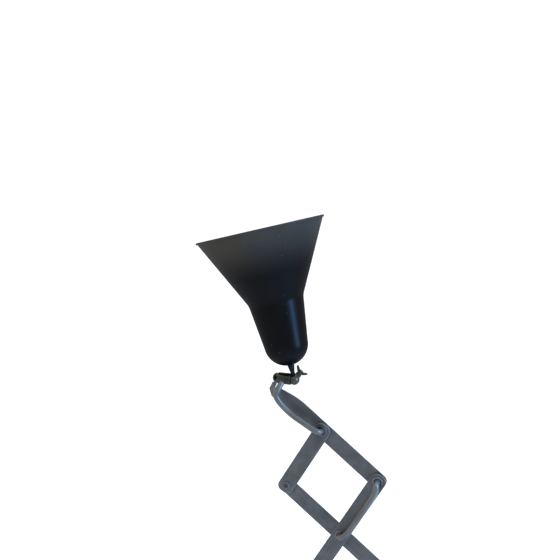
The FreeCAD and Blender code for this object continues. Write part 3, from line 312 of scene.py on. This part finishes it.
TO_PLUS_Y = Matrix.Rotation(radians(-90), 4, "X")
black_pvc = rubbery("moulded_black_pvc", "#141416", "#1c1c1f", 0.5)
BACK = PLUG + Vector((0, 18, 0))
stations = [(12.5, 6.5, -36), (12.5, 6.5, -34), (12.5, 6.5, -20), (12.2, 6.4, -16), (8.5, 5.5, -12.6)]
for i in range(5):
    top = -11.8 + 2.3 * i
    taper = 1 - 0.07 * i
    stations += [(7.2 * taper, 5.1 * taper, top), (7.2 * taper, 5.1 * taper, top + 0.9),
                 (5.9 * taper, 4.5 * taper, top + 1.1), (5.9 * taper, 4.5 * taper, top + 2.0)]
stations += [(4.5, 4.4, 0.0)]
plug = drawn_out("plug", 48, stations, Matrix.Translation(BACK * MM) @ TO_PLUS_Y)
modify(plug, "BEVEL", width=0.0006, segments=2, limit_method="ANGLE", angle_limit=radians(40))
finished(plug, black_pvc, "base", ["plug_body"])

nickel, tree, shader, place = surface("nickel_plated_brass", {"Metallic": 1.0, "Roughness": 0.22})
smear = add(tree, "TexNoise", {"Scale": 120.0, "Detail": 6.0}, {"Vector": place})
tone = ramp(tree, smear.outputs["Fac"], "#a9a69c", "#cbc9c2")
tree.links.new(tone, shader.inputs["Base Color"])
glossed(tree, shader, smear.outputs["Fac"], 0.16, 0.36)


def coat(node_name, material):
    """Gives a CAD node its material."""
    mesh = frame["nodes"][node_name].data
    mesh.materials.clear()
    mesh.materials.append(material)


coat("plug_pins", nickel)

STRAP_ANGLE = radians(118)
STRAP_HALF_WIDTH = 12.0
STRAP_HALF_HEIGHT = 7.3
STRAP_MIDDLE = COIL_CENTRE + Vector((35.8 * cos(STRAP_ANGLE), 35.8 * sin(STRAP_ANGLE), 7.6))


def squared(value):
    """Pushes a coordinate of a unit circle outwards, so that the circle becomes a rounded rectangle."""
    return abs(value) ** 0.45 * (1 if value > 0 else -1)


deselect()
bpy.ops.mesh.primitive_cylinder_add(vertices=48, radius=1.0, depth=10 * MM, end_fill_type="NOTHING")
strap = bpy.context.object
strap.name = "coil_strap"
for vertex in strap.data.vertices:
    vertex.co.x = squared(vertex.co.x) * STRAP_HALF_WIDTH * MM
    vertex.co.y = squared(vertex.co.y) * STRAP_HALF_HEIGHT * MM
strap.matrix_world = (Matrix.Translation(STRAP_MIDDLE * MM)
                      @ Matrix.Rotation(STRAP_ANGLE, 4, "Z") @ Matrix.Rotation(radians(90), 4, "X"))
outward(strap)
modify(strap, "SOLIDIFY", thickness=0.0006, offset=0.0)
modify(strap, "BEVEL", width=0.0002, segments=2, limit_method="ANGLE", angle_limit=radians(50))
tape, tree, shader, place = surface("woven_nylon_tape", {"Roughness": 0.9, "Sheen Weight": 0.3})
threads = add(tree, "TexWave", {"Scale": 500.0, "Distortion": 2.0, "Detail": 2.0}, {"Vector": place})
tone = ramp(tree, threads.outputs["Fac"], "#0d0d0f", "#26262a")
tree.links.new(tone, shader.inputs["Base Color"])
bumped(tree, shader, threads.outputs["Fac"], 0.5, 0.0003)
finished(strap, tape, "base")


# ---- base: felt, weight, cover and collar ----
# A cast-iron disc on a glued ring of felt gives the lamp its stand. A spun steel cover in black stove
# enamel hides it, and a turned collar round the post presses the cover down.
felt, tree, shader, place = surface("pressed_wool_felt", {"Roughness": 1.0, "Sheen Weight": 0.6})
fibres = add(tree, "TexNoise", {"Scale": 700.0, "Detail": 6.0}, {"Vector": place})
tone = ramp(tree, fibres.outputs["Fac"], "#0f1311", "#2a302d")
tree.links.new(tone, shader.inputs["Base Color"])
bumped(tree, shader, fibres.outputs["Fac"], 0.7, 0.0004)
coat("foot_pad", felt)

cast_iron, tree, shader, place = surface("sand_cast_iron", {"Metallic": 0.85, "Roughness": 0.62})
sand = add(tree, "TexNoise", {"Scale": 420.0, "Detail": 8.0}, {"Vector": place})
tone = ramp(tree, sand.outputs["Fac"], "#3a3836", "#5b5652")
tree.links.new(tone, shader.inputs["Base Color"])
bumped(tree, shader, sand.outputs["Fac"], 0.8, 0.0005)
coat("foot_weight", cast_iron)


def enamel(name, colour, worn, roughness, gleam):
    """Stove enamel: a hard gloss with a faint orange peel, spinning lines and a light dusting."""
    values = {"Roughness": roughness, "IOR": 1.5, "Specular IOR Level": gleam}
    made, tree, shader, place = surface(name, values)
    dust = add(tree, "TexNoise", {"Scale": 16.0, "Detail": 7.0, "Roughness": 0.65}, {"Vector": place})
    tone = ramp(tree, dust.outputs["Fac"], colour, worn, 0.42, 0.78)
    specks = add(tree, "TexVoronoi", {"Scale": 95.0, "Randomness": 1.0}, {"Vector": place})
    chosen = add(tree, "MapRange", {"From Min": 0.05, "From Max": 0.035, "To Min": 0.0, "To Max": 0.22},
                 {"Value": specks.outputs["Distance"]})
    mixed = add(tree, "MixRGB", {"Color2": linear("#8b9092")},
                {"Fac": chosen.outputs["Result"], "Color1": tone})
    tree.links.new(mixed.outputs["Color"], shader.inputs["Base Color"])
    glossed(tree, shader, dust.outputs["Fac"], roughness - 0.08, roughness + 0.14)
    parts = add(tree, "SeparateXYZ", links={"Vector": place})
    upward = add(tree, "CombineXYZ", links={"Z": parts.outputs["Z"]}).outputs["Vector"]
    rings = add(tree, "TexNoise", {"Scale": 300.0, "Detail": 2.0}, {"Vector": upward})
    peel = add(tree, "TexNoise", {"Scale": 380.0, "Detail": 2.0}, {"Vector": place})
    height = add(tree, "Math", {1: 0.5}, {0: rings.outputs["Fac"]}, operation="MULTIPLY")
    height = add(tree, "Math", links={0: height.outputs["Value"], 1: peel.outputs["Fac"]}, operation="ADD")
    bumped(tree, shader, height.outputs["Value"], 0.1, 0.0003)
    return made


black_enamel = enamel("black_stove_enamel", "#050506", "#0a0b0c", 0.22, 0.1)
COVER_ROUNDING = 7
cover_stations = [(100, 100, 2.5), (100, 100, 17)]
for i in range(1, 9):
    lift = radians(90) * i / 8
    rim = 93 + COVER_ROUNDING * cos(lift)
    cover_stations.append((rim, rim, 17 + COVER_ROUNDING * sin(lift)))
cover_stations += [(60, 60, 26.8), (24, 24, 29.8), (20.5, 20.5, 30.0), (8.1, 8.1, 30.0)]
cover = drawn_out("base_cover_spun", 160, cover_stations)


def opened(made):
    """Takes away the flat end faces of a drawn-out ring and leaves a sheet."""
    pick(made)
    bpy.ops.object.mode_set(mode="EDIT")
    bpy.ops.mesh.select_mode(type="FACE")
    bpy.ops.mesh.select_all(action="DESELECT")
    bpy.ops.object.mode_set(mode="OBJECT")
    for polygon in made.data.polygons:
        polygon.select = len(polygon.vertices) > 4
    bpy.ops.object.mode_set(mode="EDIT")
    bpy.ops.mesh.delete(type="FACE")
    bpy.ops.mesh.select_mode(type="VERT")
    bpy.ops.object.mode_set(mode="OBJECT")


opened(cover)
modify(cover, "SOLIDIFY", thickness=0.0012, offset=-1.0)
modify(cover, "BEVEL", width=0.0005, segments=2, limit_method="ANGLE", angle_limit=radians(50))


def bored(made, start, way, radius, length):
    """Drills a round hole through a piece."""
    deselect()
    bpy.ops.mesh.primitive_cylinder_add(vertices=48, radius=radius * MM, depth=length * MM)
    drill = bpy.context.object
    turn = Vector((0, 0, 1)).rotation_difference(Vector(way)).to_matrix().to_4x4()
    drill.matrix_world = (Matrix.Translation(Vector(start) * MM) @ turn
                          @ Matrix.Translation((0, 0, length * MM / 2)))
    modify(made, "BOOLEAN", operation="DIFFERENCE", object=drill, solver="EXACT")
    bpy.data.objects.remove(drill, do_unlink=True)


bored(cover, start=(38, -58, 0), way=(0, 0, 1), radius=6.1, length=60)
bored(cover, start=(0, 85, 13), way=(0, 1, 0), radius=5.0, length=30)
finished(cover, black_enamel, "base", ["base_cover"])


def plated(name, dark, light, roughness, grain):
    """Turned or drawn steel under a thin dull plating, clouded by handling, with faint tool lines."""
    made, tree, shader, place = surface(name, {"Metallic": 1.0, "Roughness": roughness})
    cloud = add(tree, "TexNoise", {"Scale": 60.0, "Detail": 8.0, "Roughness": 0.6}, {"Vector": place})
    tone = ramp(tree, cloud.outputs["Fac"], dark, light, 0.3, 0.7)
    tree.links.new(tone, shader.inputs["Base Color"])
    glossed(tree, shader, cloud.outputs["Fac"], roughness - 0.1, roughness + 0.14)
    lines = add(tree, "TexNoise", {"Scale": grain, "Detail": 3.0}, {"Vector": place})
    bumped(tree, shader, lines.outputs["Fac"], 0.12)
    return made


dull_plate = plated("dull_nickel_plate", "#77756f", "#a7a49b", 0.3, 900.0)
blued_steel = plated("blued_steel", "#2c3138", "#474d55", 0.34, 700.0)
collar = drawn_out("collar", 64, [(14, 14, 30.0), (14, 14, 32.6), (13.4, 13.4, 33.2), (11.2, 11.2, 35.4),
                                  (10.5, 10.5, 36.0), (8.05, 8.05, 36.0)])
finished(collar, blued_steel, "base", ["post_collar"])
for name in ("post", "post_nut"):
    coat(name, dull_plate)
gland_rubber = rubbery("strain_relief_rubber", "#17171a", "#202024", 0.62)
gland_stations = [(4.95, 4.95, -4), (4.95, 4.95, 0.15), (7, 7, 0.2), (7, 7, 1.6), (6.6, 6.6, 2.1),
                  (5.5, 5.5, 2.2)]
for i in range(6):
    out = 5 + 3.5 * i
    wide = 5.5 - 0.14 * i
    slim = wide - 0.6
    gland_stations += [(wide, wide, out), (slim, slim, out + 0.3), (slim, slim, out + 1.3),
                       (wide - 0.1, wide - 0.1, out + 1.6)]
gland_stations += [(4.6, 4.6, 25.6), (4.2, 4.2, 26.0), (3.5, 3.5, 26.0)]
gland = drawn_out("strain_relief", 40, gland_stations, Matrix.Translation((0, 0.1, 0.013)) @ TO_PLUS_Y)
finished(gland, gland_rubber, "base", ["cord_gland"])
coat("base_lead", grey_pvc)


# ---- base switch ----
# A single-pole toggle switch in a moulded phenolic case under the cover; its threaded bush comes up
# through the cover and a knurled nut clamps it, and the bat-shaped lever is nickel-plated.
phenolic = rubbery("moulded_phenolic", "#15110f", "#241c18", 0.28)
coat("switch_body", phenolic)
coat("switch_nut", dull_plate)
coat("switch_lever", dull_plate)


# ---- fork, pivot tube and its ring nuts ----
# A cast fork turns on the post, held up by a grub screw in a groove. A hollow threaded tube goes through
# its cheeks and the two lowest half bars, and knurled ring nuts close the tube at both ends.
coat("pivot_fork", blued_steel)
coat("fork_screw", blued_steel)
coat("pivot_tube", dull_plate)
coat("pivot_washers", dull_plate)
for name in ("lock_ring", "rear_ring_nut"):
    coat(name, blued_steel)
coat("fork_lead", grey_pvc)


# ---- scissor bars ----
# Strips of zinc-plated mild steel, 19 mm by 2 mm, with rounded ends and tumbled edges. The plating has
# dulled to a slate grey with brown patches, and its edges are lighter: rubbed plating and a painted edge
# highlight.
def zinc_strip(name, slope, dark, light):
    """Old zinc plate on rolled strip: grey going brown, with rolling lines along the strip's length."""
    made, tree, shader, place = surface(name, {"Metallic": 0.7, "Roughness": 0.48})
    turned = add(tree, "Mapping", {"Rotation": (0, slope, 0)}, {"Vector": place}).outputs["Vector"]
    drawn = add(tree, "Mapping", {"Scale": (25, 900, 1100)}, {"Vector": turned}).outputs["Vector"]
    lines = add(tree, "TexNoise", {"Scale": 1.0, "Detail": 5.0, "Roughness": 0.6}, {"Vector": drawn})
    patches = add(tree, "TexNoise", {"Scale": 42.0, "Detail": 7.0, "Roughness": 0.62}, {"Vector": place})
    tone = ramp(tree, patches.outputs["Fac"], dark, light, 0.32, 0.68)
    streaked = add(tree, "MixRGB", {"Fac": 0.35},
                   {"Color1": tone, "Color2": lines.outputs["Fac"]}, blend_type="OVERLAY")
    tree.links.new(streaked.outputs["Color"], shader.inputs["Base Color"])
    glossed(tree, shader, patches.outputs["Fac"], 0.38, 0.6)
    bumped(tree, shader, lines.outputs["Fac"], 0.18)
    return made


SLOPE = asin((RIGHT[0].z - LEFT[1].z) / (RIGHT[0] - LEFT[1]).length)
BACK_SLOPE = asin((LEFT[0].z - RIGHT[1].z) / (LEFT[0] - RIGHT[1]).length)
zinc_front = zinc_strip("zinc_plated_strip_rising", SLOPE, "#393c3e", "#505253")
zinc_back = zinc_strip("zinc_plated_strip_falling", -BACK_SLOPE, "#393c3e", "#505253")
# The edge colour is partly rubbed plating and partly a painted highlight.
edge_wear_and_highlight = zinc_strip("zinc_edges_worn_and_highlighted", SLOPE, "#5e5f5f", "#7d7d7a")
EDGE_ROUNDING = 0.35


def softened(node_name, body, material):
    """A merged copy of a CAD bar with its edges rounded and made lighter: rubbed plating and a painted edge
    highlight.
    """
    made = bpy.data.objects.new(node_name + "_strip", frame["nodes"][node_name].data.copy())
    bpy.context.collection.objects.link(made)
    made.data.materials.clear()
    pick(made)
    bpy.ops.object.mode_set(mode="EDIT")
    bpy.ops.mesh.select_all(action="SELECT")
    bpy.ops.mesh.remove_doubles(threshold=0.00001)
    bpy.ops.mesh.dissolve_limited(angle_limit=radians(1))
    bpy.ops.object.mode_set(mode="OBJECT")
    made.data.materials.append(material)
    made.data.materials.append(edge_wear_and_highlight)
    modify(made, "BEVEL", width=EDGE_ROUNDING * MM, segments=3, limit_method="ANGLE", angle_limit=radians(60),
           material=1)
    finished(made, material, body, [node_name], 30)


for node_name, body in (("lower_front_half", "lower_front"), ("front_bar_1", "front_1"),
                        ("front_bar_2", "front_2"), ("upper_front_half", "upper_front")):
    softened(node_name, body, zinc_front)
for node_name, body in (("lower_back_half", "lower_back"), ("back_bar_1", "back_1"),
                        ("back_bar_2", "back_2"), ("head_bar", "head_bar")):
    softened(node_name, body, zinc_back)


def shade_darkened_plated(name, dark, light, roughness, grain, deep):
    """Plated steel with painted shade: its colour goes dark in bores and corners, by ambient occlusion."""
    made = plated(name, dark, light, roughness, grain)
    tree = made.node_tree
    shader = tree.nodes["Principled BSDF"]
    clean = shader.inputs["Base Color"].links[0].from_socket
    # Painted shade: ambient occlusion pulls the base colour to near black in hollows.
    hollow = add(tree, "AmbientOcclusion", {"Distance": deep}, samples=8)
    painted_shade_mask = add(tree, "MapRange", {"From Min": 0.3, "From Max": 0.75}, {"Value": hollow.outputs["AO"]})
    mixed = add(tree, "MixRGB", {"Color1": linear("#0b0b0b")},
                {"Fac": painted_shade_mask.outputs["Result"], "Color2": clean})
    tree.links.new(mixed.outputs["Color"], shader.inputs["Base Color"])
    return made


# The rivets get painted shade in their bores.
rivet_zinc = shade_darkened_plated("zinc_plated_rivet", "#46474a", "#66676a", 0.34, 900.0, 0.006)
for name in ("lower_front_half_rivets", "lower_back_half_rivets", "front_bar_1_rivets", "back_bar_1_rivets",
             "front_bar_2_rivets", "back_bar_2_rivets", "head_bar_rivets"):
    coat(name, rivet_zinc)


def bore_shade_filler(name, place, body, radius, inner):
    """A dark rubber filling in a rivet's bore, put there as painted shade: a ring round the lead in a hollow
    rivet, a closed core in a small one.
    """
    stations = [(inner, inner, -2.6), (radius * 0.8, radius * 0.8, -2.9), (radius, radius, -2.2),
                (radius, radius, 2.2), (radius * 0.8, radius * 0.8, 2.9), (inner, inner, 2.6)]
    made = drawn_out(name, 32, stations, Matrix.Translation(place) @ TO_PLUS_Y)
    finished(made, gland_rubber, body)


# Dark fillings stand in for the shade inside the rivet bores.
for i, body in enumerate(("back_2", "back_1", "lower_back")):
    bore_shade_filler("bore_shade_core_" + body, LEFT[i], body, 2.49, 0.4)
for name, place, body in (("crossing_1", CROSSING[0], "head_bar"), ("elbow_1", RIGHT[0], "front_2"),
                          ("crossing_2", CROSSING[1], "front_2"), ("elbow_2", RIGHT[1], "front_1"),
                          ("crossing_3", CROSSING[2], "front_1"), ("elbow_3", RIGHT[2], "lower_front")):
    bore_shade_filler("bore_shade_ring_" + name, place, body, 4.39, 3.2)


# ---- lead along the arm ----
# The same grey lead goes in and out of the hollow rivets: in front of the bars on their right edge, then
# hidden behind the next bar, and at the top it bows across the head bar and into the hollow knuckle.
LEAD_STANDOFF = 10.3


def lead_run(node_name, body, start, end, side, bow):
    """A stretch between two hollow rivets, on the front (-1) or the back (1), bowed to the right."""
    run = (end - start).normalized()
    right = Vector((abs(run.z), 0, -run.x if run.z > 0 else run.x))
    out = Vector((0, side, 0))
    length = (end - start).length
    shoulder = out * (LEAD_STANDOFF - 1.6)
    bend = out * LEAD_STANDOFF + right * bow * 0.75
    bowed = [start + run * length * share + right * bow + out * 9.6 for share in (0.26, 0.5, 0.74)]
    spots = [start, start + shoulder, start + run * 6 + bend, *bowed,
             end - run * 6 + bend, end + shoulder, end]
    made = tube_along(node_name + "_tube", spots, CORD_RADIUS, grey_pvc)
    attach(made, body)
    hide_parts(node_name)


TOP, MIDDLE, LOW = [spot / MM for spot in CROSSING]
ELBOWS = [spot / MM for spot in RIGHT]
lead_run("head_bar_lead", "head_bar", TOP, ELBOWS[0], 1, 0.0)
lead_run("front_bar_2_lead", "front_2", ELBOWS[0], MIDDLE, -1, 6.0)
lead_run("back_bar_2_lead", "back_2", MIDDLE, ELBOWS[1], 1, 0.0)
lead_run("front_bar_1_lead", "front_1", ELBOWS[1], LOW, -1, 6.0)
lead_run("back_bar_1_lead", "back_1", LOW, ELBOWS[2], 1, 0.0)
coat("lower_front_half_lead", grey_pvc)

HEAD_RUN = [(0, 0, 0), (0, -8.6, 0), (-9, -10.6, 4.5), (-20, -10.2, 10.8), (-30.5, -9.8, 16.2),
            (-39.0, -10.2, 22.6), (-47.4, -11, 30.6), (-53.0, -11.9, 39.4)]
inlet_way = Vector((-0.3, -0.68, -0.67)).normalized()
inlet = HUB / MM + Vector((8.6, 0, 0))
head_spots = [TOP + Vector(spot) for spot in HEAD_RUN] + [inlet + inlet_way * 17.4, inlet + inlet_way * 3.5]
head_lead = tube_along("head_lead_tube", head_spots, CORD_RADIUS, grey_pvc)
pick(head_lead)
bpy.ops.object.convert(target="MESH")
head_lead = bpy.context.object
outward(head_lead)
bpy.ops.object.shade_smooth_by_angle(angle=radians(60))
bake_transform(head_lead)
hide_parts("head_lead")


# ---- knuckle, its bolt and the thumb screw ----
# A small casting in dark bronzed brass: a hollow hub on the tab's bolt, a ball socket and the boss of a
# winged thumb screw that presses on the ball. A dome-headed bolt holds it to the twisted tab.
# The knuckle's casting gets painted shade in its hollows.
bronzed = shade_darkened_plated("bronzed_casting", "#1e2124", "#4a473c", 0.27, 500.0, 0.005)
for name in ("knuckle", "thumb_screw"):
    coat(name, bronzed)
black_steel = plated("oil_blacked_steel", "#0e1013", "#1d2126", 0.3, 700.0)
for name in ("hub_bolt", "stem"):
    coat(name, black_steel)
coat("hub_washer", phenolic)
coat("stem_nut", dull_plate)


# ---- shade ----
# A funnel spun from one millimetre steel sheet: domed bottom, neck, and a mouth that flares to a rolled
# bead. It is stove-enamelled, black outside and white inside.
HEAD_PLACE = (Matrix.Translation(BALL) @ Matrix.Rotation(radians(-6.3), 4, "X")
              @ Matrix.Rotation(radians(-16), 4, "Y"))
SHADE_FOOT = 17.0
SHADE_LENGTH = 159.0
DOME_RADIUS = 25.4
BEND_RADIUS = 22.0
neck = Vector((DOME_RADIUS, DOME_RADIUS))
waist = Vector((32.0, 76.0))
mouth = Vector((74.0, SHADE_LENGTH))
outline = [Vector((DOME_RADIUS * sin(radians(a)), DOME_RADIUS - DOME_RADIUS * cos(radians(a))))
           for a in range(9, 90, 9)]
back = (neck - waist).normalized()
ahead = (mouth - waist).normalized()
half_turn = (pi - back.angle(ahead)) / 2
reach = BEND_RADIUS * sin(half_turn) / cos(half_turn)
first = waist + back * reach
last = waist + ahead * reach
hinge = waist + (back + ahead).normalized() * (BEND_RADIUS / cos(half_turn))
outline += [neck, first]
start_way = first - hinge
end_way = last - hinge
for i in range(1, 8):
    share = i / 8
    spoke = (start_way * (1 - share) + end_way * share).normalized() * BEND_RADIUS
    outline.append(hinge + spoke)
outline += [last, mouth]
STEM_HOLE_RADIUS = 3.3
shade_stations = [(STEM_HOLE_RADIUS, STEM_HOLE_RADIUS, SHADE_FOOT + 0.2)]
shade_stations += [(p.x, p.x, p.y + SHADE_FOOT) for p in outline]
shade = drawn_out("shade_spun", 128, shade_stations, HEAD_PLACE)
opened(shade)
spun_black = enamel("black_stove_enamel_spun", "#030304", "#070809", 0.2, 0.09)
tree = spun_black.node_tree
shader = tree.nodes["Principled BSDF"]
shader.inputs["Specular IOR Level"].default_value = 0.0
shader.inputs["Coat Weight"].default_value = 0.12
shader.inputs["Coat Roughness"].default_value = 0.33
painted = shader.inputs["Base Color"].links[0].from_socket
place = tree.nodes["Texture Coordinate"].outputs["Object"]
axis = HEAD_PLACE.to_3x3() @ Vector((0, 0, 1))
# Painted reflection: towards the mouth the black is lifted to an olive grey, broken up by a cloud, as if it
# reflected a bright sky near the rim.
height = add(tree, "VectorMath", {1: axis}, {0: place}, operation="DOT_PRODUCT")
mouth_height = axis.dot(BALL) + (SHADE_FOOT + SHADE_LENGTH) * MM
mouth_reflection_band = add(tree, "MapRange",
           {"From Min": mouth_height - 0.055, "From Max": mouth_height + 0.004, "To Max": 0.9},
           {"Value": height.outputs["Value"]}, interpolation_type="SMOOTHSTEP")
cloud = add(tree, "TexNoise", {"Scale": 9.0, "Detail": 4.0}, {"Vector": place})
thick = add(tree, "Math", links={0: mouth_reflection_band.outputs["Result"], 1: cloud.outputs["Fac"]}, operation="MULTIPLY")
reflection_mixed = add(tree, "MixRGB", {"Color2": linear("#45423b")},
             {"Fac": thick.outputs["Value"], "Color1": painted})
tree.links.new(reflection_mixed.outputs["Color"], shader.inputs["Base Color"])
spun_white = enamel("white_stove_enamel", "#e9e7df", "#dedbd0", 0.32, 0.5)
shade.data.materials.append(spun_black)
shade.data.materials.append(spun_white)
modify(shade, "SOLIDIFY", thickness=0.001, offset=-1.0, material_offset=1, material_offset_rim=0)
deselect()
bpy.ops.mesh.primitive_torus_add(major_segments=128, minor_segments=14, major_radius=73.5 * MM,
                                 minor_radius=1.4 * MM)
bead = bpy.context.object
bead.matrix_world = HEAD_PLACE @ Matrix.Translation((0, 0, (SHADE_FOOT + 158.4) * MM))
bead.data.materials.append(spun_black)
bead.select_set(True)
shade.select_set(True)
bpy.context.view_layer.objects.active = shade
bpy.ops.object.join()
finished(shade, spun_black, "head", ["shade"], 50)


# ---- lampholder and bulb ----
# An E27 holder in black phenolic, its upper half fluted for the fingers, with a brass screw shell round
# a glazed ceramic block, and a pearl bulb with a pressed aluminium cap.
for name in ("holder_cap", "holder_shell"):
    coat(name, phenolic)
brass = plated("drawn_brass", "#a3823f", "#c4a35c", 0.28, 800.0)
coat("holder_thread", brass)
ceramic = enamel("glazed_ceramic", "#ece9e2", "#e2ddd2", 0.2, 0.5)
coat("holder_insert", ceramic)
aluminium = plated("pressed_aluminium", "#a9abad", "#c9cbcc", 0.3, 800.0)
coat("bulb_cap", aluminium)
pearl_glass, tree, shader, place = surface("pearl_glass", {
    "Roughness": 0.3, "IOR": 1.5, "Transmission Weight": 0.25, "Base Color": linear("#f2f2ee")})
etch = add(tree, "TexNoise", {"Scale": 500.0, "Detail": 3.0}, {"Vector": place})
bumped(tree, shader, etch.outputs["Fac"], 0.05)
coat("bulb_glass", pearl_glass)
